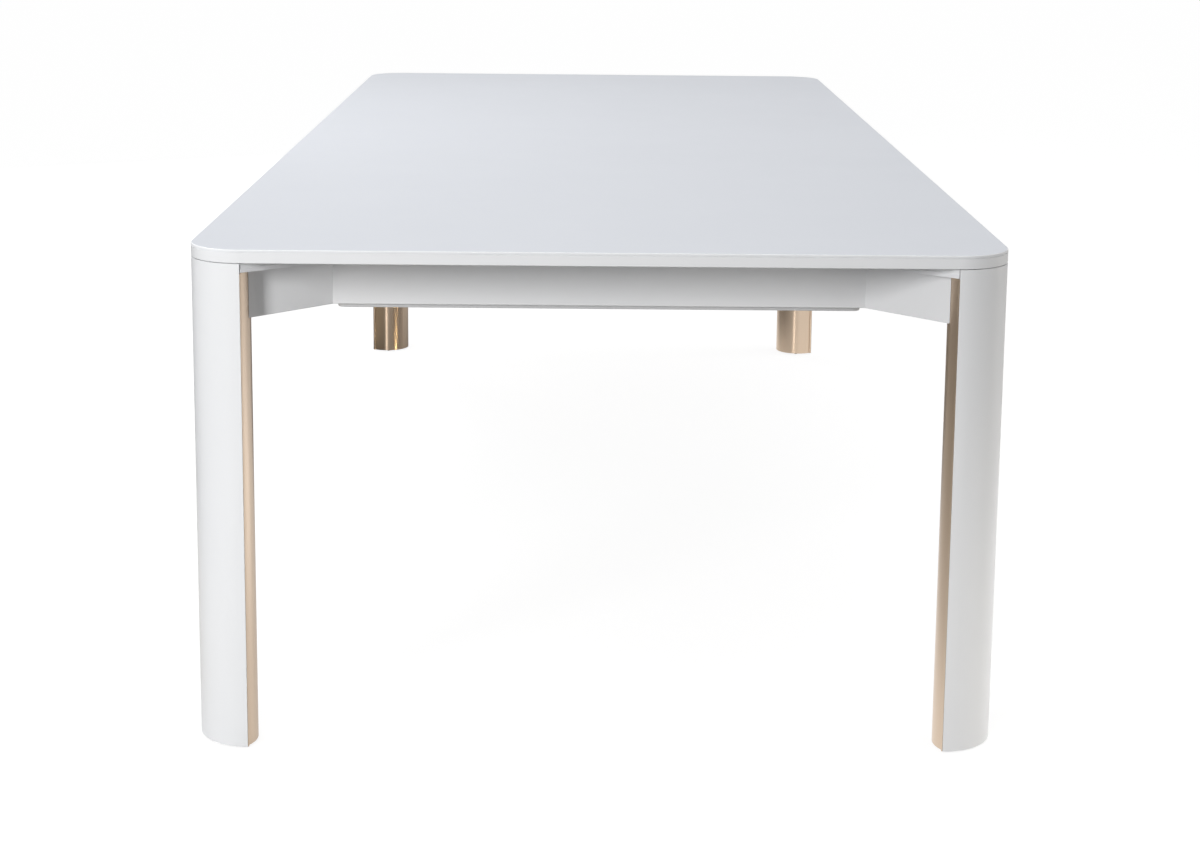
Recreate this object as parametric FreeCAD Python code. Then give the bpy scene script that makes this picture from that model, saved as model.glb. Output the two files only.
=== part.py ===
import FreeCAD, Part
import math
import os

# The whole table: length along Y, width along X, standing on the floor at zero height
table_length = 2800.0
table_width = 1200.0
table_height = 755.0

# Top: a thin face sheet bonded to a lacquered core board, with a shadow line between their edges
sheet_thickness = 4.0
sheet_arris_radius = 1.5
core_thickness = 16.0
core_arris_chamfer = 1.0
corner_radius = 82.0
shadow_line_height = 1.0
shadow_line_depth = 1.0

# Underframe: a box of aprons and rails hard up against the top, closed below by a thin panel
frame_depth = 85.0
frame_side_inset = 200.0
rail_thickness = 30.0
rail_arris_radius = 1.5
cross_rail_count = 3
cross_rail_depth = 60.0
housing_depth = 10.0
panel_thickness = 6.0
panel_inset = 6.0
panel_corner_radius = 12.0

# Legs: a lacquered outer shell and a rolled brass skin on a post, almond shaped in plan
shell_thickness = 6.0
shell_arris_radius = 2.5
shell_joint = 0.8
brass_bulge = 45.0
brass_thickness = 2.0
brass_head_gap = 1.5
glue_gap = 0.2
pad_thickness = 3.0
pad_length = 60.0
pad_width = 36.0
pad_station = 71.0

# Leg heads: a flared plate and a spacer under the top, and a diagonal arm to the frame
plate_thickness = 6.0
plate_shell_gap = 1.0
plate_end_setback = 2.0
plate_reach = 200.0
plate_inner_width = 150.0
plate_corner_radius = 12.0
plate_nose_radius = 1.5
spacer_thickness = 8.0
spacer_inset = 5.0
spacer_nose_inset = 1.0
arm_width = 92.0
arm_arris_radius = 1.0
cope_clearance = 0.3

# Countersunk screws and bolts through the head plate
screw_shank_radius = 2.5
screw_head_radius = 5.0
screw_head_depth = 2.5
screw_grip = 12.0
head_screw_offset = 54.0
head_screw_reach_shares = (0.55, 0.825)
bolt_shank_radius = 4.0
bolt_head_radius = 7.5
bolt_head_depth = 3.5
leg_bolt_length = 70.0
leg_bolt_station = 75.0
leg_bolt_offset = 22.0
arm_screw_length = 50.0
arm_screw_room_shares = (0.25, 0.68)

# Hexagon bolts that draw each arm against its side rail
arm_bolt_radius = 5.0
arm_bolt_grip = 40.0
arm_bolt_head_height = 6.4
arm_bolt_head_radius = 9.2
arm_bolt_count = 2
arm_bolt_inset = 20.0
arm_bolt_pitch = 30.0
washer_radius = 12.0
washer_thickness = 2.0

# Dowels of the frame corners, angle brackets that hold the top, and screws of the panel
dowel_radius = 5.0
dowel_length = 50.0
dowel_end_room = 1.0
dowel_apron_share = 0.4
dowel_height_shares = (0.3, 0.7)
bracket_leg = 30.0
bracket_thickness = 3.0
bracket_length = 40.0
bracket_screw_radius = 2.0
bracket_screw_head_radius = 4.0
bracket_screw_head_height = 2.0
bracket_screw_length = 14.0
panel_screw_count = 4
panel_screw_end_room = 60.0
panel_screw_length = 25.0

# Fits and cuts, and the number of flats on a fastener, few because there are many of them
fastener_sides = 6
hole_clearance = 0.2
overrun = 5.0
edge_tolerance = 0.001

# Heights and plan places that follow from the sizes above
underside = table_height - sheet_thickness - core_thickness
spacer_base = underside - spacer_thickness
plate_base = spacer_base - plate_thickness
frame_base = underside - frame_depth
panel_base = frame_base - panel_thickness
root_two = math.sqrt(2.0)
frame_end_inset = frame_side_inset - arm_width / root_two
frame_half_width = table_width / 2 - frame_side_inset
frame_half_length = table_length / 2 - frame_end_inset
rail_middle = frame_half_width - rail_thickness / 2
rail_inner_face = frame_half_width - rail_thickness
apron_inner_face = frame_half_length - rail_thickness

# Almond section: the shell's arc is struck from the top's own corner centre, and the brass arc springs
# from the inner edges of the shell's two ends
shell_inner_radius = corner_radius - shell_thickness
half_chord = shell_inner_radius / root_two
brass_radius = (half_chord ** 2 + brass_bulge ** 2) / (2 * brass_bulge)
brass_inner_radius = brass_radius - brass_thickness
corner_station = corner_radius * root_two
brass_back = (corner_radius + shell_thickness) / root_two + brass_bulge
brass_station = brass_back - brass_radius

Vector = FreeCAD.Vector
ORIGIN = Vector(0, 0, 0)
ACROSS = Vector(1, 0, 0)
ALONG = Vector(0, 1, 0)
UP = Vector(0, 0, 1)
DOWN = Vector(0, 0, -1)


def from_corner(across, along, height):
    """Point measured inwards from the near left square corner of the top."""
    return Vector(across - table_width / 2, along - table_length / 2, height)


def on_diagonal(station, offset, height):
    """Point at a station along the near left corner's diagonal, offset towards the table's end."""
    return from_corner((station + offset) / root_two, (station - offset) / root_two, height)


def edges_at(shape, x=None, y=None, z=None):
    """Edges that lie wholly at the coordinates given."""
    found = []
    for edge in shape.Edges:
        box = edge.BoundBox
        spans = ((x, box.XMin, box.XMax), (y, box.YMin, box.YMax), (z, box.ZMin, box.ZMax))
        asked = [(at, low, high) for at, low, high in spans if at is not None]
        if all(max(abs(low - at), abs(high - at)) < edge_tolerance for at, low, high in asked):
            found.append(edge)
    return found


def block(low, high):
    """Box between two opposite corners."""
    size = high - low
    return Part.makeBox(size.x, size.y, size.z, low)


def prism(points, height):
    """Upright solid on a polygon."""
    return Part.Face(Part.makePolygon(points + points[:1])).extrude(UP * height)


def rounded_slab(length, width, radius, thickness, base):
    """Slab centred on the plan, with rounded corners and its underside at base."""
    low = Vector(-width / 2, -length / 2, base)
    slab = block(low, Vector(width / 2, length / 2, base + thickness))
    uprights = [e for x in (low.x, -low.x) for y in (low.y, -low.y) for e in edges_at(slab, x=x, y=y)]
    return slab.makeFillet(radius, uprights)


def corner_cylinder(station, radius, base, top):
    """Upright cylinder about a point on the near left corner's diagonal."""
    return Part.makeCylinder(radius, top - base, on_diagonal(station, 0, base))


def mirrored(shape, to_right, to_far):
    """Near left piece carried to another corner."""
    if to_right:
        shape = shape.mirror(ORIGIN, ACROSS)
    if to_far:
        shape = shape.mirror(ORIGIN, ALONG)
    return shape


def ring(place, axis, radius):
    """Corners of a regular polygon round an axis, ending with the first again."""
    side = axis.cross(Vector(axis.y, axis.z, axis.x))
    turns = [2 * math.pi * step / fastener_sides for step in range(fastener_sides + 1)]
    rim = [side * math.cos(turn) + axis.cross(side) * math.sin(turn) for turn in turns]
    return [place + point * radius for point in rim]


def bar(place, axis, length, radius):
    """Straight bar of polygon section that starts at a place and runs along an axis."""
    return Part.Face(Part.makePolygon(ring(place, axis, radius))).extrude(axis * length)


def countersunk(place, axis, length, shank_radius, head_radius, head_depth):
    """Countersunk screw, with the flat of its head at a place and its point along an axis."""
    neck = place + axis * head_depth
    rim = ring(place, axis, head_radius)
    throat = ring(neck, axis, shank_radius)
    flats = [rim[k : k + 2] + [throat[k + 1], throat[k], rim[k]] for k in range(fastener_sides)]
    faces = [Part.Face(Part.makePolygon(outline)) for outline in flats + [rim, throat]]
    head = Part.makeSolid(Part.makeShell(faces))
    return head.fuse(bar(neck, axis, length - head_depth, shank_radius)).removeSplitter()


def countersunk_hole(place, axis, length, shank_radius, head_radius, head_depth):
    """Hole that takes a countersunk screw with clearance."""
    radii = (shank_radius + hole_clearance, head_radius + hole_clearance)
    return countersunk(place, axis, length + hole_clearance, *radii, head_depth)


def headed(place, axis, length, shank_radius, head_radius, head_height):
    """Screw or bolt whose head is seated at a place, with its point along an axis."""
    head = bar(place, -axis, head_height, head_radius)
    return head.fuse(bar(place, axis, length, shank_radius)).removeSplitter()


def shank_hole(place, axis, length, radius):
    """Hole with clearance for a shank, started outside the face it enters."""
    start = place - axis * overrun
    return bar(start, axis, overrun + length + hole_clearance, radius + hole_clearance)


corners = {
    "near_left": (False, False),
    "near_right": (True, False),
    "far_left": (False, True),
    "far_right": (True, True),
}


def at_corners(shapes):
    """Every shape of a near left list, carried to all four corners."""
    return [mirrored(shape, *place) for place in corners.values() for shape in shapes]


nodes = {}


# Fasteners of one leg head, near left
head_screw_size = (screw_shank_radius, screw_head_radius, screw_head_depth)
bolt_size = (bolt_shank_radius, bolt_head_radius, bolt_head_depth)
head_screw_length = plate_thickness + spacer_thickness + screw_grip
head_screw_places = [
    on_diagonal(share * plate_reach, offset, plate_base)
    for share in head_screw_reach_shares
    for offset in (-head_screw_offset, head_screw_offset)
]
leg_bolt_places = [
    on_diagonal(leg_bolt_station, offset, spacer_base) for offset in (-leg_bolt_offset, leg_bolt_offset)
]
arm_screw_places = [
    on_diagonal(brass_back + share * (plate_reach - brass_back), 0, spacer_base)
    for share in arm_screw_room_shares
]
head_screws = [countersunk(p, UP, head_screw_length, *head_screw_size) for p in head_screw_places]
head_holes = [countersunk_hole(p, UP, head_screw_length, *head_screw_size) for p in head_screw_places]
leg_bolts = [countersunk(p, DOWN, leg_bolt_length, *bolt_size) for p in leg_bolt_places]
leg_bolt_holes = [countersunk_hole(p, DOWN, leg_bolt_length, *bolt_size) for p in leg_bolt_places]
arm_screws = [countersunk(p, DOWN, arm_screw_length, *bolt_size) for p in arm_screw_places]
arm_screw_holes = [countersunk_hole(p, DOWN, arm_screw_length, *bolt_size) for p in arm_screw_places]
nodes["head_screws"] = Part.makeCompound(at_corners(head_screws))
nodes["leg_bolts"] = Part.makeCompound(at_corners(leg_bolts))
nodes["arm_screws"] = Part.makeCompound(at_corners(arm_screws))


# Hexagon bolts through the left side rail into the near left arm
arm_bolt_size = (arm_bolt_radius, arm_bolt_head_radius, arm_bolt_head_height)
arm_bolts = []
arm_bolt_holes = []
arm_washers = []
for row in range(arm_bolt_count):
    along = table_length / 2 - apron_inner_face + arm_bolt_inset + row * arm_bolt_pitch
    seat = from_corner(frame_side_inset + rail_thickness, along, (frame_base + plate_base) / 2)
    depth = rail_thickness + arm_bolt_grip
    washer_face = seat + ACROSS * washer_thickness
    arm_bolts.append(headed(washer_face, -ACROSS, washer_thickness + depth, *arm_bolt_size))
    arm_bolt_holes.append(shank_hole(seat, -ACROSS, depth, arm_bolt_radius))
    arm_washers.append(bar(seat, ACROSS, washer_thickness, washer_radius).cut(arm_bolt_holes[-1]))
nodes["arm_bolts"] = Part.makeCompound(at_corners(arm_bolts))
nodes["arm_washers"] = Part.makeCompound(at_corners(arm_washers))


# Leg shell: a quarter of a sleeve with eased outer arrises, closed up to a fine joint under the top
shell_top = underside - shell_joint
sleeve = corner_cylinder(corner_station, corner_radius, pad_thickness, shell_top)
sleeve = sleeve.cut(corner_cylinder(corner_station, shell_inner_radius, pad_thickness - overrun, underside))
quarter = block(from_corner(0, 0, pad_thickness), from_corner(corner_radius, corner_radius, shell_top))
shell = sleeve.common(quarter)
end_arris = from_corner(corner_radius, 0, 0)
side_arris = from_corner(0, corner_radius, 0)
arrises = [e for at in (end_arris, side_arris) for e in edges_at(shell, x=at.x, y=at.y)]
shell = shell.makeFillet(shell_arris_radius, arrises)

# Brass skin and post: both are lenses between the shell's inner arc and an arc about the brass centre
inside_shell = shell_inner_radius - glue_gap


def lens(radius, top):
    """Upright solid inside the shell, with its inner side about the brass centre."""
    filling = corner_cylinder(corner_station, inside_shell, pad_thickness, top)
    return filling.common(corner_cylinder(brass_station, radius, pad_thickness, top))


brass = lens(brass_radius, plate_base - brass_head_gap)
brass = brass.cut(corner_cylinder(brass_station, brass_inner_radius, pad_thickness - overrun, underside))
inside_brass = brass_inner_radius - glue_gap
post = lens(inside_brass, plate_base).cut(leg_bolt_holes)

# Pad: cut square from strip and stuck under the post, clear of both skins
pad_near = pad_station - pad_width / 2
pad_far = pad_station + pad_width / 2
pad_corners = [
    on_diagonal(station, side * pad_length / 2, 0)
    for station, side in ((pad_near, -1), (pad_far, -1), (pad_far, 1), (pad_near, 1))
]
pad = prism(pad_corners, pad_thickness)

# Head plate: flares inwards from the two ends of the shell, with a nose that fills the leg's head
nose_across = corner_radius + plate_shell_gap
nose_station = (nose_across + plate_end_setback) / root_two
nose_offset = (nose_across - plate_end_setback) / root_two
flare = [
    on_diagonal(nose_station, -nose_offset, plate_base),
    on_diagonal(plate_reach, -plate_inner_width / 2, plate_base),
    on_diagonal(plate_reach, plate_inner_width / 2, plate_base),
    on_diagonal(nose_station, nose_offset, plate_base),
]
fan = prism(flare, plate_thickness)
inner_uprights = [e for at in flare[1:3] for e in edges_at(fan, x=at.x, y=at.y)]
plate = fan.makeFillet(plate_corner_radius, inner_uprights)
nose_uprights = [e for at in flare[::3] for e in edges_at(plate, x=at.x, y=at.y)]
plate = plate.makeFillet(plate_nose_radius, nose_uprights)
nose_radius = shell_inner_radius - plate_shell_gap
nose = corner_cylinder(corner_station, nose_radius, plate_base, spacer_base)
nose = nose.common(corner_cylinder(brass_station, brass_radius, plate_base, spacer_base))
shell_room = corner_cylinder(corner_station, corner_radius + plate_shell_gap, plate_base, underside)
shell_room = shell_room.cut(corner_cylinder(corner_station, nose_radius, plate_base, underside))
room_corner = from_corner(nose_across, nose_across, underside)
shell_room = shell_room.common(block(from_corner(-overrun, -overrun, plate_base), room_corner))
plate = plate.fuse(nose).removeSplitter().cut(shell_room)
plate = plate.cut(head_holes + leg_bolt_holes + arm_screw_holes)

# Head spacer: the flare of the plate, drawn in at its inner corners and only a little at the shell
spacer_nose_offset = nose_offset - spacer_nose_inset
spacer_reach = plate_reach - spacer_inset
spacer_half_width = plate_inner_width / 2 - spacer_inset
spacer_corners = [
    on_diagonal(nose_station, -spacer_nose_offset, spacer_base),
    on_diagonal(spacer_reach, -spacer_half_width, spacer_base),
    on_diagonal(spacer_reach, spacer_half_width, spacer_base),
    on_diagonal(nose_station, spacer_nose_offset, spacer_base),
]
spacer = prism(spacer_corners, spacer_thickness).cut([shell_room] + head_holes)

# Arm: runs along the diagonal, coped round the brass and cut off against the side rail
arm_height = plate_base - frame_base
arm_end = frame_side_inset * root_two + arm_width / 2 + overrun
arm_corners = [
    on_diagonal(station, side * arm_width / 2, frame_base)
    for station, side in ((brass_station, -1), (arm_end, -1), (arm_end, 1), (brass_station, 1))
]
arm = prism(arm_corners, arm_height)
arm = arm.makeFillet(arm_arris_radius, edges_at(arm, z=frame_base))
cope_radius = brass_radius + cope_clearance
arm = arm.cut(corner_cylinder(brass_station, cope_radius, frame_base - overrun, underside))
arm_limit = from_corner(frame_side_inset, arm_end, plate_base)
arm = arm.common(block(from_corner(0, 0, frame_base), arm_limit))
arm = arm.cut(arm_screw_holes + arm_bolt_holes)

leg_pieces = {
    "leg_shell": shell,
    "leg_brass": brass,
    "leg_core": post,
    "leg_pad": pad,
    "head_plate": plate,
    "head_spacer": spacer,
    "leg_arm": arm,
}
for piece, shape in leg_pieces.items():
    for corner, place in corners.items():
        nodes[f"{piece}_{corner}"] = mirrored(shape, *place)


# Dowels between the aprons and the side rails, near left
apron_dowels = []
apron_holes = []
for share in dowel_height_shares:
    joint = Vector(-rail_middle, -apron_inner_face, frame_base + share * frame_depth)
    start = joint - ALONG * (dowel_apron_share * dowel_length)
    hole_start = start - ALONG * dowel_end_room
    hole_length = dowel_length + 2 * dowel_end_room
    apron_dowels.append(bar(start, ALONG, dowel_length, dowel_radius))
    apron_holes.append(bar(hole_start, ALONG, hole_length, dowel_radius + hole_clearance))
nodes["frame_dowels"] = Part.makeCompound(at_corners(apron_dowels))
apron_holes = at_corners(apron_holes)


# Bays between the cross rails, which are housed in the side rails
cross_rail_base = underside - cross_rail_depth
bay = 2 * apron_inner_face / (cross_rail_count + 1)
cross_rail_half_length = rail_inner_face + housing_depth
cross_rails = []
for row in range(cross_rail_count):
    near_face = bay * (row + 1) - apron_inner_face - rail_thickness / 2
    low = Vector(-cross_rail_half_length, near_face, cross_rail_base)
    cross_rails.append(block(low, Vector(cross_rail_half_length, near_face + rail_thickness, underside)))
    nodes[f"cross_rail_{row + 1}"] = cross_rails[row]


# Angle brackets in the middle of each bay, screwed to the side rails and up into the top
bracket_outline = [
    Vector(0, 0, 0),
    Vector(bracket_leg, 0, 0),
    Vector(bracket_leg, 0, -bracket_thickness),
    Vector(bracket_thickness, 0, -bracket_thickness),
    Vector(bracket_thickness, 0, -bracket_leg),
    Vector(0, 0, -bracket_leg),
]
bracket_places = [bay * (row + 0.5) - apron_inner_face for row in range(cross_rail_count + 1)]
bracket_screw_size = (bracket_screw_radius, bracket_screw_head_radius, bracket_screw_head_height)
brackets = []
bracket_screws = []
bracket_holes = []
for along in bracket_places:
    heel = Vector(-rail_inner_face, along - bracket_length / 2, underside)
    outline = [heel + point for point in bracket_outline]
    bracket = Part.Face(Part.makePolygon(outline + outline[:1])).extrude(ALONG * bracket_length)
    middle = (bracket_leg + bracket_thickness) / 2
    under = Vector(middle - rail_inner_face, along, underside - bracket_thickness)
    beside = Vector(bracket_thickness - rail_inner_face, along, underside - middle)
    holes = []
    for seat, axis in ((under, UP), (beside, -ACROSS)):
        bracket_screws.append(headed(seat, axis, bracket_screw_length, *bracket_screw_size))
        holes.append(shank_hole(seat, axis, bracket_screw_length, bracket_screw_radius))
    brackets.append(bracket.cut(holes))
    bracket_holes += holes
for group in (brackets, bracket_screws, bracket_holes):
    group += [mirrored(shape, True, False) for shape in group]
nodes["top_brackets"] = Part.makeCompound(brackets)
nodes["bracket_screws"] = Part.makeCompound(bracket_screws)


# Screws up through the bottom panel into the side rails
panel_screw_span = 2 * (apron_inner_face - panel_screw_end_room)
panel_screws = []
panel_holes = []
for side in (-rail_middle, rail_middle):
    for row in range(panel_screw_count):
        along = panel_screw_span * (row / (panel_screw_count - 1) - 0.5)
        place = Vector(side, along, panel_base)
        panel_screws.append(countersunk(place, UP, panel_screw_length, *head_screw_size))
        panel_holes.append(countersunk_hole(place, UP, panel_screw_length, *head_screw_size))
nodes["panel_screws"] = Part.makeCompound(panel_screws)


# Top: the sheet has an eased upper arris, and the core steps in under it for the shadow line
sheet_base = underside + core_thickness
sheet = rounded_slab(table_length, table_width, corner_radius, sheet_thickness, sheet_base)
nodes["top_sheet"] = sheet.makeFillet(sheet_arris_radius, edges_at(sheet, z=table_height))

core_side_height = core_thickness - shadow_line_height
core = rounded_slab(table_length, table_width, corner_radius, core_side_height, underside)
core = core.makeChamfer(core_arris_chamfer, edges_at(core, z=underside))
step_length = table_length - 2 * shadow_line_depth
step_width = table_width - 2 * shadow_line_depth
step_radius = corner_radius - shadow_line_depth
step = rounded_slab(step_length, step_width, step_radius, shadow_line_height, underside + core_side_height)
core = core.fuse(step).removeSplitter()
nodes["top_core"] = core.cut(at_corners(head_holes) + bracket_holes)


# Underframe: aprons across the ends, rails between them, cross rails in the bays, panel below
apron_low = Vector(-frame_half_width, -frame_half_length, frame_base)
apron = block(apron_low, Vector(frame_half_width, -apron_inner_face, underside))
apron = apron.makeFillet(rail_arris_radius, edges_at(apron, y=apron_low.y, z=frame_base))
apron = apron.cut(apron_holes)
nodes["end_apron_near"] = apron
nodes["end_apron_far"] = mirrored(apron, False, True)

rail_low = Vector(-frame_half_width, -apron_inner_face, frame_base)
rail = block(rail_low, Vector(-rail_inner_face, apron_inner_face, underside))
rail = rail.makeFillet(rail_arris_radius, edges_at(rail, x=rail_low.x, z=frame_base))
rail = rail.cut(apron_holes + cross_rails + bracket_holes + panel_holes + at_corners(arm_bolt_holes))
nodes["side_rail_left"] = rail
nodes["side_rail_right"] = mirrored(rail, True, False)

panel_length = 2 * (frame_half_length - panel_inset)
panel_width = 2 * (frame_half_width - panel_inset)
panel = rounded_slab(panel_length, panel_width, panel_corner_radius, panel_thickness, panel_base)
nodes["bottom_panel"] = panel.cut(panel_holes)


os.makedirs("parts", exist_ok=True)
for name, shape in nodes.items():
    shape.exportStep(f"parts/{name}.step")
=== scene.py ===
import math

import bmesh
import bpy
from mathutils import Matrix, Vector


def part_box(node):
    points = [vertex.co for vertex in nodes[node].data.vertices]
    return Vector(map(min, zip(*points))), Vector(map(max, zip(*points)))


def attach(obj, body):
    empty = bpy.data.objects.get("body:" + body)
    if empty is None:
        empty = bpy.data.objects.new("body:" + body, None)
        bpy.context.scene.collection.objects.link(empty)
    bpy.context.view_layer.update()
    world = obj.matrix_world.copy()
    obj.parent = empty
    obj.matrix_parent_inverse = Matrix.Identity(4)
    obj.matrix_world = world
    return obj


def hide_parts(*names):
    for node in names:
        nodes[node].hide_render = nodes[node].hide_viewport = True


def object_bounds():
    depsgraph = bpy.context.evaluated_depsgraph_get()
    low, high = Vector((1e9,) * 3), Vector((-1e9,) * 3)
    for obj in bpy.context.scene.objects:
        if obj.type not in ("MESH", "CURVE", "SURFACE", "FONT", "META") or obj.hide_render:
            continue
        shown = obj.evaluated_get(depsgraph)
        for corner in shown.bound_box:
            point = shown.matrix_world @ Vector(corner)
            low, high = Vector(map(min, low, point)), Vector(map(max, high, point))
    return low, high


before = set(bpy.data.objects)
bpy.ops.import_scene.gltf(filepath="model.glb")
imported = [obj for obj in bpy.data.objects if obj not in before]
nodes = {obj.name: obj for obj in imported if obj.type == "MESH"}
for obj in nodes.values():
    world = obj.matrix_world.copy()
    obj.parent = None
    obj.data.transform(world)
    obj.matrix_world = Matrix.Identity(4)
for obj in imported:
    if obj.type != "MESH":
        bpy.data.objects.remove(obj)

cad_low, cad_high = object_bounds()
scene = bpy.context.scene


# Frame: two end aprons and two side rails, boards of the underframe that stand on edge under the top.
# They are medium density board, sprayed with white satin lacquer, and are glued up with dowels.
# Three cross rails are housed in the side rails. The boards keep the shapes of the solids.
class Wire:
    """Socket of a finish. Sums on it add Math nodes, and add makes any other node."""

    def __init__(self, tree, socket=None):
        self.tree = tree
        self.socket = socket

    def add(self, kind, settings, values, output=0):
        node = self.tree.nodes.new(kind)
        for name, value in settings.items():
            setattr(node, name, value)
        for name, value in values.items():
            self.feed(node.inputs[name], value)
        return Wire(self.tree, node.outputs[output])

    def feed(self, socket, value):
        if isinstance(value, Wire):
            self.tree.links.new(value.socket, socket)
        else:
            socket.default_value = value

    def maths(self, operation, first, second):
        return self.add("ShaderNodeMath", {"operation": operation}, {0: first, 1: second})

    def __add__(self, other):
        return self.maths("ADD", self, other)

    def __sub__(self, other):
        return self.maths("SUBTRACT", self, other)

    def __mul__(self, other):
        return self.maths("MULTIPLY", self, other)

    __radd__ = __add__


def paint(red, green, blue):
    """Colour as it looks on a screen, from 0 to 255, made linear."""
    shares = [value / 255 for value in (red, green, blue)]
    return [s / 12.92 if s <= 0.04045 else ((s + 0.055) / 1.055) ** 2.4 for s in shares] + [1.0]


def new_finish(name, **constants):
    """Material with a Principled shader, given the sockets that are the same all over."""
    finish = bpy.data.materials.new(name)
    finish.use_nodes = True
    shader = finish.node_tree.nodes["Principled BSDF"]
    for socket, value in constants.items():
        shader.inputs[socket.replace("_", " ")].default_value = value
    return finish, Wire(finish.node_tree), shader


def grain(wire, per_metre, stretch=(1, 1, 1), detail=2.0):
    """Noise from 0 to 1 on the object's own coordinates, with so many spots to the metre."""
    place = wire.add("ShaderNodeTexCoord", {}, {}, "Object")
    turned = wire.add("ShaderNodeMapping", {}, {"Vector": place, "Scale": stretch})
    return wire.add("ShaderNodeTexNoise", {}, {"Vector": turned, "Scale": per_metre, "Detail": detail})


def between(wire, share, first, second):
    """Colour that goes from the first to the second with a share."""
    return wire.add("ShaderNodeMix", {"data_type": "RGBA"}, {0: share, 6: first, 7: second}, 2)


def relief(wire, height, depth):
    """Normal of a surface that stands up by a depth in metres where height is 1."""
    return wire.add("ShaderNodeBump", {}, {"Height": height, "Distance": depth, "Strength": 1.0})


def sprayed(name, light, dark, roughness, peel_depth, peel_per_metre):
    """White sprayed finish, with clouds too faint to name and the fine peel of the spray."""
    finish, wire, shader = new_finish(name, Specular_IOR_Level=0.4)
    clouds = grain(wire, 2.5, detail=3.0)
    patches = grain(wire, 30.0)
    peel = grain(wire, peel_per_metre, detail=1.0)
    wire.feed(shader.inputs["Base Color"], between(wire, clouds, dark, light))
    wire.feed(shader.inputs["Roughness"], roughness + (patches - 0.5) * 0.16)
    wire.feed(shader.inputs["Normal"], relief(wire, peel, peel_depth))
    return finish


def dress(finish, *names):
    """Puts a finish on solids whose own shapes are kept."""
    for name in names:
        nodes[name].material_slots[0].material = finish


lacquer_look = {"roughness": 0.36, "peel_depth": 0.00004, "peel_per_metre": 320.0}
white_lacquer = sprayed("white_lacquer", paint(242, 243, 244), paint(237, 238, 240), **lacquer_look)
dress(white_lacquer, "end_apron_near", "end_apron_far", "side_rail_left", "side_rail_right")
dress(white_lacquer, *[name for name in nodes if name.startswith("cross_rail")])


# Frame dowels: grooved beech pegs that tie the aprons to the side rails, wholly inside the boards.
# They are cut from rod, with a chamfer at both ends, and glued.
def lathe(profile, place, axis, steps):
    """Solid turned round an axis. The profile is (radius, distance along the axis) pairs."""
    turned = bmesh.new()
    points = [turned.verts.new((radius, 0, along)) for radius, along in profile]
    edges = [turned.edges.new(pair) for pair in zip(points, points[1:])]
    geometry = points + edges
    spun = {"geom": geometry, "axis": (0, 0, 1), "cent": (0, 0, 0), "angle": math.tau, "steps": steps}
    bmesh.ops.spin(turned, use_merge=True, **spun)
    bmesh.ops.remove_doubles(turned, verts=turned.verts, dist=1e-6)
    turn = Vector((0, 0, 1)).rotation_difference(Vector(axis)).to_matrix().to_4x4()
    bmesh.ops.transform(turned, matrix=Matrix.Translation(place) @ turn, verts=turned.verts)
    return turned


def gather(meshes):
    """One mesh from several, each kept as a separate shell."""
    whole = bmesh.new()
    for part in meshes:
        bmesh.ops.recalc_face_normals(part, faces=part.faces)
        carried = bpy.data.meshes.new("carried")
        part.to_mesh(carried)
        part.free()
        whole.from_mesh(carried)
        bpy.data.meshes.remove(carried)
    return whole


def make_piece(name, mesh, finish, slot, *stands_for):
    """Shown piece of the table, shaded smooth with crisp edges, in place of the solids named."""
    bmesh.ops.recalc_face_normals(mesh, faces=mesh.faces)
    shape = bpy.data.meshes.new(name)
    mesh.to_mesh(shape)
    mesh.free()
    shape.shade_smooth()
    shape.set_sharp_from_angle(angle=math.radians(50))
    shape.materials.append(finish)
    piece = bpy.data.objects.new(name, shape)
    scene.collection.objects.link(piece)
    piece.modifiers.new("even_shading", "WEIGHTED_NORMAL").keep_sharp = True
    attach(piece, "root")
    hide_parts(*stands_for)


def islands(name):
    """Boxes of the separate solids in one group of CAD pieces."""
    copy = bmesh.new()
    copy.from_mesh(nodes[name].data)
    bmesh.ops.remove_doubles(copy, verts=copy.verts, dist=1e-6)
    waiting = set(copy.verts)
    boxes = []
    while waiting:
        front = [waiting.pop()]
        island = []
        while front:
            vert = front.pop()
            island.append(vert.co.copy())
            fresh = {edge.other_vert(vert) for edge in vert.link_edges} & waiting
            waiting -= fresh
            front.extend(fresh)
        low = Vector([min(point[k] for point in island) for k in range(3)])
        high = Vector([max(point[k] for point in island) for k in range(3)])
        boxes.append((low, high))
    copy.free()
    return sorted(boxes, key=lambda box: tuple(box[0]))


def beech(name, stretch):
    """Planed beech, with its grain drawn out along the piece."""
    finish, wire, shader = new_finish(name, Specular_IOR_Level=0.3)
    flecks = grain(wire, 260.0, stretch, 4.0)
    bands = grain(wire, 40.0, stretch, 2.0)
    tone = between(wire, bands * 0.6 + flecks * 0.4, paint(176, 135, 92), paint(214, 180, 138))
    wire.feed(shader.inputs["Base Color"], tone)
    wire.feed(shader.inputs["Roughness"], 0.5 + flecks * 0.2)
    wire.feed(shader.inputs["Normal"], relief(wire, flecks, 0.00008))
    return finish


peg_beech = beech("peg_beech", (1.0, 0.08, 1.0))
chamfer = 0.001
pegs = []
for low, high in islands("frame_dowels"):
    peg_radius = (high.z - low.z) / math.sqrt(3)
    peg_length = high.y - low.y
    ends = [(0, 0), (peg_radius - chamfer, 0), (peg_radius, chamfer)]
    far_ends = [(radius, peg_length - along) for radius, along in reversed(ends)]
    middle = (low + high) / 2
    pegs.append(lathe(ends + far_ends, (middle.x, low.y, middle.z), (0, 1, 0), 24))
make_piece("beech_pegs", gather(pegs), peg_beech, "timber", "frame_dowels")


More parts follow.
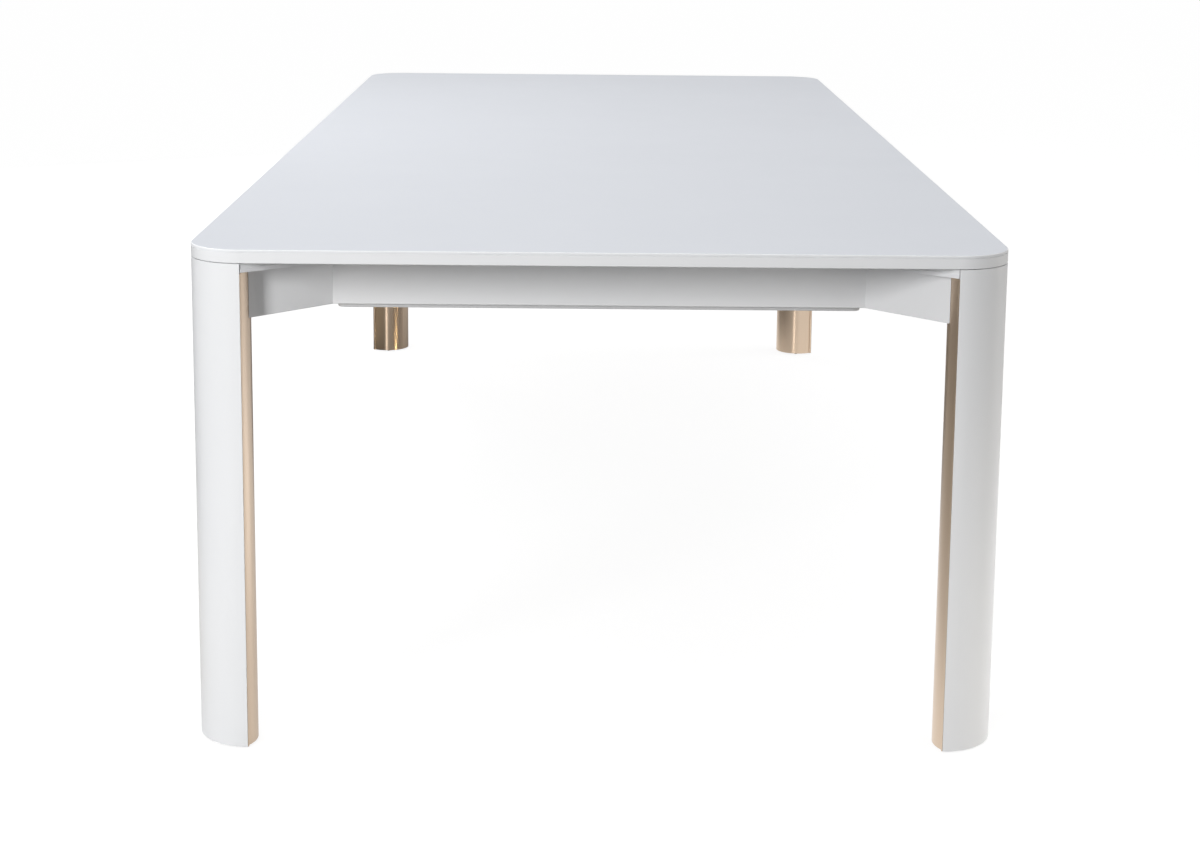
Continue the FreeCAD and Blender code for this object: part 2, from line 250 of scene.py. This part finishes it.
# Bottom panel: a thin lacquered board that closes the frame from below, with rounded corners.
# Its lower edge is eased by hand, and it is screwed up into the side rails.
def slab(low, high, corner_radius, steps):
    """Upright board with rounded corners in plan."""
    board = bmesh.new()
    bmesh.ops.create_cube(board, size=1)
    bmesh.ops.scale(board, vec=high - low, verts=board.verts)
    bmesh.ops.translate(board, vec=(low + high) / 2, verts=board.verts)
    uprights = [e for e in board.edges if abs(e.verts[0].co.z - e.verts[1].co.z) > (high.z - low.z) / 2]
    ease(board, uprights, corner_radius, steps)
    return board


def ease(board, edges, radius, steps):
    """Rounds edges over."""
    rounding = {"affect": "EDGES", "segments": steps, "profile": 0.5, "material": -1}
    bmesh.ops.bevel(board, geom=edges, offset=radius, offset_type="OFFSET", **rounding)


def edges_level(board, height):
    """Edges that lie at a height."""
    level = 1e-5
    return [e for e in board.edges if all(abs(vert.co.z - height) < level for vert in e.verts)]


panel_corner = 0.012
panel_lower_ease = 0.0015
panel_upper_ease = 0.0005
panel_low, panel_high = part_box("bottom_panel")
panel = slab(panel_low, panel_high, panel_corner, 10)
ease(panel, edges_level(panel, panel_low.z), panel_lower_ease, 4)
ease(panel, edges_level(panel, panel_high.z), panel_upper_ease, 2)
make_piece("closing_panel", panel, white_lacquer, "white_lacquer", "bottom_panel")


# Panel screws: countersunk steel wood screws, zinc plated, with a six sided socket in the head.
# They are driven up through the closing panel, flush with its underside.
def socket_head(head_radius, socket_radius, socket_depth, steps):
    """Flat face of a screw's head, at zero height and facing down, with a six sided socket sunk up in it."""
    face = bmesh.new()
    rim = bmesh.ops.create_circle(face, segments=steps, radius=head_radius)["verts"]
    mouth = bmesh.ops.create_circle(face, segments=6, radius=socket_radius)["verts"]
    loops = [e for e in face.edges if all(v in mouth for v in e.verts) or all(v in rim for v in e.verts)]
    bmesh.ops.bridge_loops(face, edges=loops)
    walls = bmesh.ops.extrude_edge_only(face, edges=[e for e in loops if e.verts[0] in mouth])["geom"]
    floor_verts = [item for item in walls if isinstance(item, bmesh.types.BMVert)]
    bmesh.ops.translate(face, vec=(0, 0, socket_depth), verts=floor_verts)
    wall_edges = [item for item in walls if isinstance(item, bmesh.types.BMEdge)]
    floor_edges = [edge for edge in wall_edges if all(v in floor_verts for v in edge.verts)]
    bmesh.ops.contextual_create(face, geom=floor_edges)
    return face


def threaded(start, end, radius, pitch):
    """Profile of a thread, drawn as rings, between two distances along a screw."""
    root_radius = radius * 0.8
    turns = max(1, round((end - start) / pitch))
    step = (end - start) / turns
    profile = []
    for k in range(turns):
        profile += [(radius, start + k * step), (root_radius, start + (k + 0.5) * step)]
    return profile + [(radius, end)]


def countersunk(place, axis, length, shank_radius, head_radius, head_depth):
    """Countersunk screw with the flat of its head at a place."""
    steps = 24
    land = 0.0003
    pitch = 0.0016
    thread_start = head_depth + length * 0.25
    tip = shank_radius * 2
    shank = [(head_radius, 0), (head_radius, land), (shank_radius, head_depth), (shank_radius, thread_start)]
    shank += threaded(thread_start, length - tip, shank_radius, pitch)[1:] + [(0, length)]
    screw = lathe(shank, (0, 0, 0), (0, 0, 1), steps)
    head = socket_head(head_radius, head_radius * 0.42, head_depth * 0.7, steps)
    whole = gather([screw, head])
    bmesh.ops.remove_doubles(whole, verts=whole.verts, dist=1e-6)
    turn = Vector((0, 0, 1)).rotation_difference(Vector(axis)).to_matrix().to_4x4()
    bmesh.ops.transform(whole, matrix=Matrix.Translation(place) @ turn, verts=whole.verts)
    return whole


def zinc_plate(name):
    """Zinc plated steel: pale grey with a faint spangle."""
    finish, wire, shader = new_finish(name, Metallic=1.0)
    spangle = grain(wire, 900.0)
    wire.feed(shader.inputs["Base Color"], between(wire, spangle, paint(176, 180, 186), paint(206, 208, 210)))
    wire.feed(shader.inputs["Roughness"], 0.28 + spangle * 0.2)
    return finish


zinc = zinc_plate("zinc_plate")
panel_screw = {"shank_radius": 0.0025, "head_radius": 0.005, "head_depth": 0.0025}
panel_screws = []
for low, high in islands("panel_screws"):
    middle = (low + high) / 2
    place = (middle.x, middle.y, low.z)
    panel_screws.append(countersunk(place, (0, 0, 1), high.z - low.z, **panel_screw))
make_piece("panel_wood_screws", gather(panel_screws), zinc, "zinc_steel", "panel_screws")


# Core board of the top: board of sixteen millimetres, sprayed white, flush with the legs at its corners.
# Its upper edge is stepped in by a millimetre, which leaves the fine shadow line under the face sheet.
core_low, core_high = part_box("top_core")
corner_radius = 0.082
corner_steps = 32
line_height = 0.001
line_depth = 0.001
core_ease = 0.001
core = slab(core_low, core_high - Vector((0, 0, line_height)), corner_radius, corner_steps)
upper = max(core.faces, key=lambda face: face.calc_center_median().z)
bmesh.ops.inset_region(core, faces=[upper], thickness=line_depth, use_even_offset=True)
raised = bmesh.ops.extrude_face_region(core, geom=[upper])["geom"]
raised_verts = [item for item in raised if isinstance(item, bmesh.types.BMVert)]
bmesh.ops.translate(core, vec=(0, 0, line_height), verts=raised_verts)
bmesh.ops.delete(core, geom=[upper], context="FACES_ONLY")
ease(core, edges_level(core, core_low.z), core_ease, 3)
make_piece("core_board", core, white_lacquer, "white_lacquer", "top_core")


# Face sheet of the top: a thin sheet with a silk matt face, in a pale blue grey, bonded to the core.
# Its upper arris is rounded over, and the lower one only broken. The rim is white like the core.
sheet_low, sheet_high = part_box("top_sheet")
sheet_round = 0.0015
sheet_break = 0.0003
sheet = slab(sheet_low, sheet_high, corner_radius, corner_steps)
ease(sheet, edges_level(sheet, sheet_high.z), sheet_round, 5)
ease(sheet, edges_level(sheet, sheet_low.z), sheet_break, 2)
silk_face, wire, shader = new_finish("silk_face", Specular_IOR_Level=0.18)
clouds = grain(wire, 1.6, detail=4.0)
handling = grain(wire, 9.0, detail=5.0)
tooth = grain(wire, 1400.0, detail=1.0)
face_tone = between(wire, clouds, paint(214, 217, 223), paint(218, 221, 227))
place = wire.add("ShaderNodeTexCoord", {}, {}, "Object")
height = wire.add("ShaderNodeSeparateXYZ", {}, {"Vector": place}, "Z")
rim_margin = 0.0001
rim = wire.maths("LESS_THAN", height, sheet_high.z - rim_margin)
wire.feed(shader.inputs["Base Color"], between(wire, rim, face_tone, paint(240, 241, 243)))
wire.feed(shader.inputs["Roughness"], 0.54 + (handling - 0.5) * 0.12)
wire.feed(shader.inputs["Normal"], relief(wire, tooth, 0.00001))
make_piece("face_sheet", sheet, silk_face, "top_face", "top_sheet")


# Top brackets and their screws: folded zinc plated angles inside the frame, one to each bay and side.
# They hold the top to the side rails. The angles keep the shapes of the solids.
def pan_head(place, axis, length, shank_radius, head_radius, head_height):
    """Pan head screw whose head is seated at a place."""
    crown = [(0, -head_height), (head_radius * 0.7, -head_height), (head_radius, -head_height * 0.4)]
    seat = [(head_radius, 0), (shank_radius, 0)]
    pitch = 0.0014
    thread = threaded(0, length - shank_radius * 2, shank_radius, pitch)[1:]
    return lathe(crown + seat + thread + [(0, length)], place, axis, 20)


dress(zinc, "top_brackets")
pan_screw = {"shank_radius": 0.002, "head_radius": 0.004, "head_height": 0.002}
bracket_screws = []
for low, high in islands("bracket_screws"):
    middle = (low + high) / 2
    size = high - low
    upright = size.z > size.x
    length = max(size) - pan_screw["head_height"]
    if upright:
        place, axis = (middle.x, middle.y, high.z - length), (0, 0, 1)
    else:
        side = math.copysign(1, middle.x)
        outer = max(abs(low.x), abs(high.x))
        place, axis = (side * (outer - length), middle.y, middle.z), (side, 0, 0)
    bracket_screws.append(pan_head(place, axis, length, **pan_screw))
make_piece("bracket_pan_screws", gather(bracket_screws), zinc, "zinc_steel", "bracket_screws")


# Leg posts: four solid beech posts, planed to an almond section, which carry the table.
# They stand inside the two skins of each leg and keep the shapes of the solids.
post_beech = beech("post_beech", (1.0, 1.0, 0.06))
corners = {"near_left": (1, 1), "near_right": (-1, 1), "far_left": (1, -1), "far_right": (-1, -1)}
dress(post_beech, *[f"leg_core_{corner}" for corner in corners])


# Floor pads: hard felt, cut square from strip and stuck under each post, clear of both skins.
# The lower edges are rubbed round, so that the table slides.
pad_felt, wire, shader = new_finish("pad_felt", Specular_IOR_Level=0.1)
fibres = grain(wire, 1500.0, detail=4.0)
wire.feed(shader.inputs["Base Color"], between(wire, fibres, paint(84, 84, 86), paint(126, 126, 127)))
wire.feed(shader.inputs["Roughness"], 0.86 + fibres * 0.12)
wire.feed(shader.inputs["Normal"], relief(wire, fibres, 0.0003))
pad_ease = 0.0008
for corner in corners:
    pad = bmesh.new()
    pad.from_mesh(nodes[f"leg_pad_{corner}"].data)
    bmesh.ops.remove_doubles(pad, verts=pad.verts, dist=1e-6)
    bmesh.ops.dissolve_limit(pad, angle_limit=math.radians(1), verts=pad.verts, edges=pad.edges)
    ease(pad, edges_level(pad, 0), pad_ease, 3)
    make_piece(f"felt_pad_{corner}", pad, pad_felt, "floor_pad", f"leg_pad_{corner}")


# Leg shells: quarter round outer skins of lacquered board, flush with the rounded corners of the top.
# Each is bonded round its post, with a fine joint under the top and broken arrises beside the brass.
half_width, half_length = cad_high.x, cad_high.y
shell_thickness = 0.006
shell_arris = 0.001
shell_foot_ease = 0.0006


def curved_skin(centre, radius, thickness, low, high, first, last, steps):
    """Upright curved sheet, from one plan angle to another, with its thickness inside the radius."""
    skin = bmesh.new()
    start = Vector((math.cos(first), math.sin(first), 0))
    section = [(radius - thickness, low), (radius, low), (radius, high), (radius - thickness, high)]
    corners_of_section = [skin.verts.new(centre + start * out + Vector((0, 0, z))) for out, z in section]
    end_face = skin.faces.new(corners_of_section)
    turn = {"cent": centre, "axis": (0, 0, 1), "angle": last - first, "steps": steps}
    bmesh.ops.spin(skin, geom=[end_face], **turn)
    bmesh.ops.remove_doubles(skin, verts=skin.verts, dist=1e-7)
    return skin


def end_edges(skin, centre, radius):
    """Edges that run up the two ends of a curved sheet, at a radius."""
    sharp = math.radians(50)
    ends = [e for e in skin.edges if len(e.link_faces) == 2 and e.calc_face_angle(0) > sharp]
    upright = [e for e in ends if (e.verts[0].co - e.verts[1].co).xy.length < 1e-6]
    return [e for e in upright if abs((e.verts[0].co - centre).xy.length - radius) < 1e-5]


for corner, (across, along) in corners.items():
    low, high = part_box(f"leg_shell_{corner}")
    centre = Vector((corner_radius - half_width, corner_radius - half_length, 0))
    reach = (corner_radius, shell_thickness, low.z, high.z, math.radians(180), math.radians(270))
    shell = curved_skin(centre, *reach, corner_steps)
    bmesh.ops.recalc_face_normals(shell, faces=shell.faces)
    ease(shell, end_edges(shell, centre, corner_radius), shell_arris, 4)
    ease(shell, edges_level(shell, low.z), shell_foot_ease, 2)
    bmesh.ops.scale(shell, vec=(across, along, 1), verts=shell.verts)
    make_piece(f"quarter_shell_{corner}", shell, white_lacquer, "white_lacquer", f"leg_shell_{corner}")


# Leg brass: rolled sheet that closes the inner side of each leg, from one edge of the shell to the other.
# It is satin brass, rubbed along its length and clear lacquered, so it keeps a pale rose tone.
# A thin lip is turned over each end of the shell, so that no white edge shows from inside.
brushed = {"Metallic": 1.0, "Anisotropic": 0.9, "Anisotropic_Rotation": 0.25}
satin_brass, wire, shader = new_finish("satin_brass", **brushed)
brushing = grain(wire, 700.0, (1.0, 1.0, 0.006), 3.0)
hairlines = grain(wire, 2600.0, (1.0, 1.0, 0.004), 1.0)
tarnish = grain(wire, 5.0, (1.0, 1.0, 0.5), 4.0)
warm = between(wire, brushing, paint(224, 202, 178), paint(231, 210, 187))
wire.feed(shader.inputs["Base Color"], between(wire, tarnish * 0.4, warm, paint(220, 196, 174)))
wire.feed(shader.inputs["Roughness"], 0.3 + brushing * 0.06 + (tarnish - 0.5) * 0.04)
wire.feed(shader.inputs["Normal"], relief(wire, hairlines, 0.000008))
brass_thickness = 0.002
brass_bulge = 0.045
half_chord = (corner_radius - shell_thickness) / math.sqrt(2)
brass_radius = (half_chord**2 + brass_bulge**2) / (2 * brass_bulge)
brass_inset = (corner_radius + shell_thickness) / 2 + (brass_bulge - brass_radius) / math.sqrt(2)
brass_spread = math.radians(79.4)
brass_steps = 56
brass_foot_ease = 0.0004
inward = math.radians(45)
lip_thickness = 0.0004
lip_half = (shell_thickness - shell_arris + lip_thickness) / 2
lip_place = corner_radius - shell_arris - lip_half
lip_rise = 0.0013
lip_radius = (lip_half**2 + lip_rise**2) / (2 * lip_rise)
lip_spread = math.asin(lip_half / lip_radius)
lip_depth = lip_thickness + lip_rise - lip_radius
lip_steps = 8
lips = [(Vector((-lip_place, lip_depth, 0)), math.radians(90)), (Vector((lip_depth, -lip_place, 0)), 0)]
for corner, (across, along) in corners.items():
    low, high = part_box(f"leg_brass_{corner}")
    centre = Vector((brass_inset - half_width, brass_inset - half_length, 0))
    reach = (brass_radius, brass_thickness, low.z, high.z, inward - brass_spread, inward + brass_spread)
    brass = curved_skin(centre, *reach, brass_steps)
    bmesh.ops.recalc_face_normals(brass, faces=brass.faces)
    ease(brass, edges_level(brass, low.z), brass_foot_ease, 2)
    bend = Vector((corner_radius - half_width, corner_radius - half_length, 0))
    made = [brass]
    for offset, facing in lips:
        reach = (lip_radius, lip_thickness, low.z, high.z, facing - lip_spread, facing + lip_spread)
        made.append(curved_skin(bend + offset, *reach, lip_steps))
    brass = gather(made)
    bmesh.ops.scale(brass, vec=(across, along, 1), verts=brass.verts)
    make_piece(f"brass_skin_{corner}", brass, satin_brass, "leg_brass", f"leg_brass_{corner}")


# Leg heads: a flared steel plate, powder coated white, and a lacquered spacer between it and the top.
# Both keep the shapes of the solids. Countersunk screws hold them to the top, and bolts to post and arm.
powder_look = {"roughness": 0.42, "peel_depth": 0.00008, "peel_per_metre": 420.0}
powder_coat = sprayed("powder_coat", paint(241, 242, 244), paint(236, 237, 240), **powder_look)
dress(powder_coat, *[f"head_plate_{corner}" for corner in corners])
dress(white_lacquer, *[f"head_spacer_{corner}" for corner in corners])
fixings = {
    "head_screws": (0.0025, 0.005, 0.0025, 1),
    "leg_bolts": (0.004, 0.0075, 0.0035, -1),
    "arm_screws": (0.004, 0.0075, 0.0035, -1),
}
for group, (shank_radius, head_radius, head_depth, way) in fixings.items():
    made = []
    for low, high in islands(group):
        middle = (low + high) / 2
        head_height = low.z if way > 0 else high.z
        place = (middle.x, middle.y, head_height)
        made.append(countersunk(place, (0, 0, way), high.z - low.z, shank_radius, head_radius, head_depth))
    make_piece(f"socket_{group}", gather(made), zinc, "zinc_steel", group)


# Leg arms: lacquered boards that run from each leg to the frame's corner, hollowed to fit round the brass.
# They keep the shapes of the solids. Two bolts with washers draw each one against its side rail.
dress(white_lacquer, *[f"leg_arm_{corner}" for corner in corners])
dress(zinc, "arm_washers")
bolt_head = 0.0064
bolt_head_radius = 0.0092
bolt_head_ease = 0.0006
bolt_radius = 0.005
bolt_pitch = 0.0015
bolt_tip = 0.001
hex_bolts = []
for low, high in islands("arm_bolts"):
    middle = (low + high) / 2
    side = math.copysign(1, middle.x)
    inner = min(abs(low.x), abs(high.x))
    bolt_length = max(abs(low.x), abs(high.x)) - inner - bolt_head
    head = bmesh.new()
    six_sided = {"segments": 6, "radius1": bolt_head_radius, "radius2": bolt_head_radius, "depth": bolt_head}
    bmesh.ops.create_cone(head, cap_ends=True, **six_sided)
    ease(head, edges_level(head, bolt_head / 2), bolt_head_ease, 2)
    turn = Matrix.Rotation(side * math.radians(-90), 4, "Y")
    head_place = Matrix.Translation((side * (inner + bolt_head / 2), middle.y, middle.z))
    bmesh.ops.transform(head, matrix=head_place @ turn, verts=head.verts)
    plain = bolt_length * 0.5
    profile = [(0, 0), (bolt_radius, 0), (bolt_radius, plain)]
    profile += threaded(plain, bolt_length - bolt_tip, bolt_radius, bolt_pitch)[1:] + [(0, bolt_length)]
    seat = (side * (inner + bolt_head), middle.y, middle.z)
    hex_bolts += [head, lathe(profile, seat, (side, 0, 0), 24)]
make_piece("arm_hex_bolts", gather(hex_bolts), zinc, "zinc_steel", "arm_bolts")


# Floor: a seamless pale studio floor, wide enough to pass out of sight, that keeps the table's soft shadow.
# The camera sees it lifted to white, and it lights the table as a pale grey. Reflections see painted tones on
# it by place, which give the brass the depth that it has in the photograph: painted shade under the far half
# of the table, painted dark patches to the left and the far right, and painted glow by the far right foot and
# at the near right.
floor_half = 40.0
floor_grey = (0.19, 0.19, 0.19, 1)
floor_mesh = bmesh.new()
bmesh.ops.create_grid(floor_mesh, x_segments=1, y_segments=1, size=floor_half)
floor_shape = bpy.data.meshes.new("studio_floor")
floor_mesh.to_mesh(floor_shape)
floor_mesh.free()
floor = bpy.data.objects.new("studio_floor", floor_shape)
scene.collection.objects.link(floor)
floor_white, wire, shader = new_finish("floor_white", Roughness=0.9, Specular_IOR_Level=0.0)
shader.inputs["Base Color"].default_value = floor_grey


def ray(wire, kind):
    """One where the light is looked at by the camera, by a reflection or through glass, as kind says."""
    return wire.add("ShaderNodeLightPath", {}, {}, f"Is {kind} Ray")


def falling(wire, value, start, end):
    """Share that falls smoothly from 1 at the start to 0 at the end."""
    limits = {"Value": value, "From Min": start, "From Max": end, "To Min": 1.0, "To Max": 0.0}
    return wire.add("ShaderNodeMapRange", {"interpolation_type": "SMOOTHSTEP"}, limits)


black = (0, 0, 0, 1)
camera_lift = (0.88, 0.88, 0.88, 1)
open_tone = (0.57, 0.57, 0.57, 1)
foot_glow_tone = (0.76, 0.75, 0.74, 1)
side_shade_tone = (0.34, 0.34, 0.34, 1)
front_glow_tone = (0.97, 0.98, 1.0, 1)
under_shade_tone = (0.03, 0.02, 0.01, 1)
left_shade_tone = (0.34, 0.29, 0.2, 1)
spot = wire.add("ShaderNodeTexCoord", {}, {}, "Object")
across = wire.add("ShaderNodeSeparateXYZ", {}, {"Vector": spot}, "X")
along = wire.add("ShaderNodeSeparateXYZ", {}, {"Vector": spot}, "Y")
# Painted light and shade in the floor's colour as reflections see it: painted glow by the far right foot and
# at the near right, painted shade under the far half of the table, painted dark patches to the left and the
# far right.
foot_glow = falling(wire, across, 0.42, 0.3) * falling(wire, along, 1.1, 0.95)
open_floor = between(wire, foot_glow, open_tone, foot_glow_tone)
side_shade = falling(wire, across, 1.5, 1.0) * falling(wire, along, 0.3, 0.0)
side_floor = between(wire, side_shade, open_floor, side_shade_tone)
front_strip = falling(wire, across, 0.3, 0.0) * falling(wire, across, 1.3, 2.0)
front_glow = front_strip * falling(wire, along, -0.2, 0.2)
front_floor = between(wire, front_glow, side_floor, front_glow_tone)
under_shade = falling(wire, across, 0.15, 0.3) * falling(wire, along, 0.3, 0.05)
shaded_floor = between(wire, under_shade, front_floor, under_shade_tone)
left_shade = falling(wire, across, -0.8, -0.6)
painted_reflection = between(wire, left_shade, shaded_floor, left_shade_tone)
plain_look = wire.maths("MAXIMUM", ray(wire, "Camera"), ray(wire, "Transmission"))
lift = between(wire, plain_look, black, camera_lift)
wire.feed(shader.inputs["Emission Color"], between(wire, ray(wire, "Glossy"), lift, painted_reflection))
shader.inputs["Emission Strength"].default_value = 1.0
floor_shape.materials.append(floor_white)


# Light: a pale studio that is brighter overhead, with soft boxes at the front, the sides and behind.
# The camera and reflections see the studio as white. Two narrow strips draw the streaks on the far brass.
# A few boxes light a single piece, or spare one, to bring its tone near to the photograph.
world = bpy.data.worlds.new("white_studio")
scene.world = world
world.use_nodes = True
wire = Wire(world.node_tree)
background = world.node_tree.nodes["Background"]
direction = wire.add("ShaderNodeTexCoord", {}, {}, "Generated")
upward = wire.add("ShaderNodeSeparateXYZ", {}, {"Vector": direction}, "Z")
white = (1, 1, 1, 1)
zenith = (1.2, 1.2, 1.2, 1)
overhead = between(wire, upward * upward, black, zenith)
plain_look = wire.maths("MAXIMUM", ray(wire, "Camera"), ray(wire, "Transmission"))
looked_at = wire.maths("MAXIMUM", plain_look, ray(wire, "Glossy"))
wire.feed(background.inputs["Color"], between(wire, looked_at, overhead, white))


def soft_box(name, place, aim, width, height, power, colour=(1, 1, 1), spread=180):
    """Rectangular lamp that faces a point and isn't seen itself."""
    lamp = bpy.data.lights.new(name, "AREA")
    lamp.shape = "RECTANGLE"
    lamp.size = width
    lamp.size_y = height
    lamp.energy = power
    lamp.color = colour
    lamp.spread = math.radians(spread)
    box = bpy.data.objects.new(name, lamp)
    scene.collection.objects.link(box)
    box.location = place
    box.rotation_euler = (Vector(aim) - Vector(place)).to_track_quat("-Z", "Y").to_euler()
    box.visible_camera = False
    box.visible_glossy = False
    return box


pale_warm = (1.0, 0.96, 0.92)
daylight = (1.0, 0.97, 0.92)
low_warm = (1.0, 0.96, 0.9)
amber = (1.0, 0.8, 0.45)
cool = (0.94, 1.0, 1.12)
front_left_box = soft_box("front_left_box", (-2.2, -3.8, 1.6), (-0.3, -1.4, 0.5), 0.7, 1.2, 50.0)
front_box = soft_box("front_box", (-1.0, -4.5, 2.0), (-0.3, -1.4, 0.5), 0.7, 1.2, 32.0)
soft_box("overhead_left_box", (-1.8, 0.2, 2.6), (0.0, 0.0, 0.7), 1.5, 2.5, 32.5)
right_box = soft_box("right_box", (3.0, -0.6, 0.5), (0.6, -1.2, 0.3), 0.8, 0.8, 20.3, daylight)
soft_box("low_left_box", (-1.3, -2.3, 0.12), (-0.6, -1.4, 0.1), 0.4, 0.2, 0.45, spread=90)
soft_box("low_right_box", (1.45, -2.0, 0.13), (0.6, -1.4, 0.05), 0.4, 0.2, 0.95, low_warm, 90)
soft_box("back_left_box", (-2.2, 4.9, 1.0), (-0.5, 1.4, 0.4), 1.2, 1.2, 70.0)
soft_box("side_box", (3.4, 1.6, 0.9), (0.6, 0.7, 0.55), 1.2, 0.8, 7.5, spread=76)
pale_strip = soft_box("pale_strip", (-0.95, -3.1, 0.9), (0.0, 1.35, 0.6), 0.1, 1.8, 21.0, pale_warm)
warm_strip = soft_box("warm_strip", (1.9, -0.8, 0.6), (-0.55, 1.35, 0.1), 0.06, 1.2, 0.65, amber, 24)
brass_box = soft_box("brass_box", (0.57, -0.84, 0.1), (-0.513, -1.385, 0.42), 0.5, 0.16, 0.24, cool)
for strip in (pale_strip, warm_strip, brass_box):
    strip.visible_glossy = True
    strip.visible_diffuse = False
edge_box = soft_box("edge_box", (1.2, -1.5, 0.45), (-0.52, -1.4, 0.4), 0.3, 0.8, 14.0)
arm_box = soft_box("arm_box", (-1.32, -2.605, 1.1), (-0.44, -1.3, 0.68), 0.11, 0.6, 48.0)
lit_by = {
    pale_strip: ("brass_skin_far_left", "brass_skin_far_right"),
    warm_strip: ("brass_skin_far_left",),
    brass_box: ("brass_skin_near_left",),
    edge_box: ("quarter_shell_near_left",),
    arm_box: ("leg_arm_near_left",),
}
for box, names in lit_by.items():
    lit = bpy.data.collections.new(f"{box.name}_lit")
    for name in names:
        lit.objects.link(bpy.data.objects[name])
    box.light_linking.receiver_collection = lit
spared_by = {
    front_left_box: ("leg_arm_near_left",),
    front_box: ("leg_arm_near_left", "closing_panel"),
    right_box: ("leg_arm_near_left",),
}
for box, names in spared_by.items():
    spared = bpy.data.collections.new(f"{box.name}_spared")
    for name in names:
        spared.objects.link(bpy.data.objects[name])
    for entry in spared.collection_objects:
        entry.light_linking.link_state = "EXCLUDE"
    box.light_linking.receiver_collection = spared


# Dark cards: black cloth on stands, seen only in reflections, where they paint dark reflections that give the
# metal its depth; they cast no shadow and light nothing. One stands to the left of the table, and a small one
# hangs under it between the far legs, as painted shade under the table in the reflections of the far brass.
card_black, wire, shader = new_finish("card_black", Roughness=0.9, Specular_IOR_Level=0.0)
wire.feed(shader.inputs["Base Color"], between(wire, grain(wire, 40.0), paint(52, 52, 52), paint(70, 70, 70)))


def dark_card(name, low, high):
    """Upright sheet that runs along the table, between two opposite corners, seen only in reflections."""
    sheet = bmesh.new()
    bmesh.ops.create_grid(sheet, x_segments=1, y_segments=1, size=0.5)
    upright = Matrix.Rotation(math.radians(90), 3, "Y")
    bmesh.ops.rotate(sheet, cent=(0, 0, 0), matrix=upright, verts=sheet.verts)
    bmesh.ops.scale(sheet, vec=(1, high.y - low.y, high.z - low.z), verts=sheet.verts)
    bmesh.ops.translate(sheet, vec=(low + high) / 2, verts=sheet.verts)
    shape = bpy.data.meshes.new(name)
    sheet.to_mesh(shape)
    sheet.free()
    shape.materials.append(card_black)
    card = bpy.data.objects.new(name, shape)
    scene.collection.objects.link(card)
    card.visible_camera = False
    card.visible_diffuse = False
    card.visible_transmission = False
    card.visible_shadow = False


dark_card("left_card", Vector((-1.3, -2.4, 0.0)), Vector((-1.3, 3.0, 2.4)))
dark_card("middle_card", Vector((0.1, 0.25, 0.15)), Vector((0.1, 1.35, 0.64)))


# Camera: at standing height before the near end of the table, looking along it and a little down.
# The window's shift keeps the legs near upright, as in the photograph.
photo_width = 1200
focal_pixels = 2143.2
camera_data = bpy.data.cameras.new("camera")
camera_data.sensor_width = 36.0
camera_data.lens = focal_pixels / photo_width * camera_data.sensor_width
camera_data.shift_y = -0.16
camera_data.clip_end = 200
camera = bpy.data.objects.new("camera", camera_data)
scene.collection.objects.link(camera)
camera_place = (-0.0214, -4.4254, 1.2872)
tilt_down = math.radians(9.54)
turn_right = math.radians(0.39)
roll = math.radians(0.555)
look = Matrix.Rotation(-turn_right, 4, "Z") @ Matrix.Rotation(math.radians(90) - tilt_down, 4, "X")
camera.matrix_world = Matrix.Translation(camera_place) @ look @ Matrix.Rotation(roll, 4, "Z")
scene.camera = camera
scene.view_settings.view_transform = "Standard"
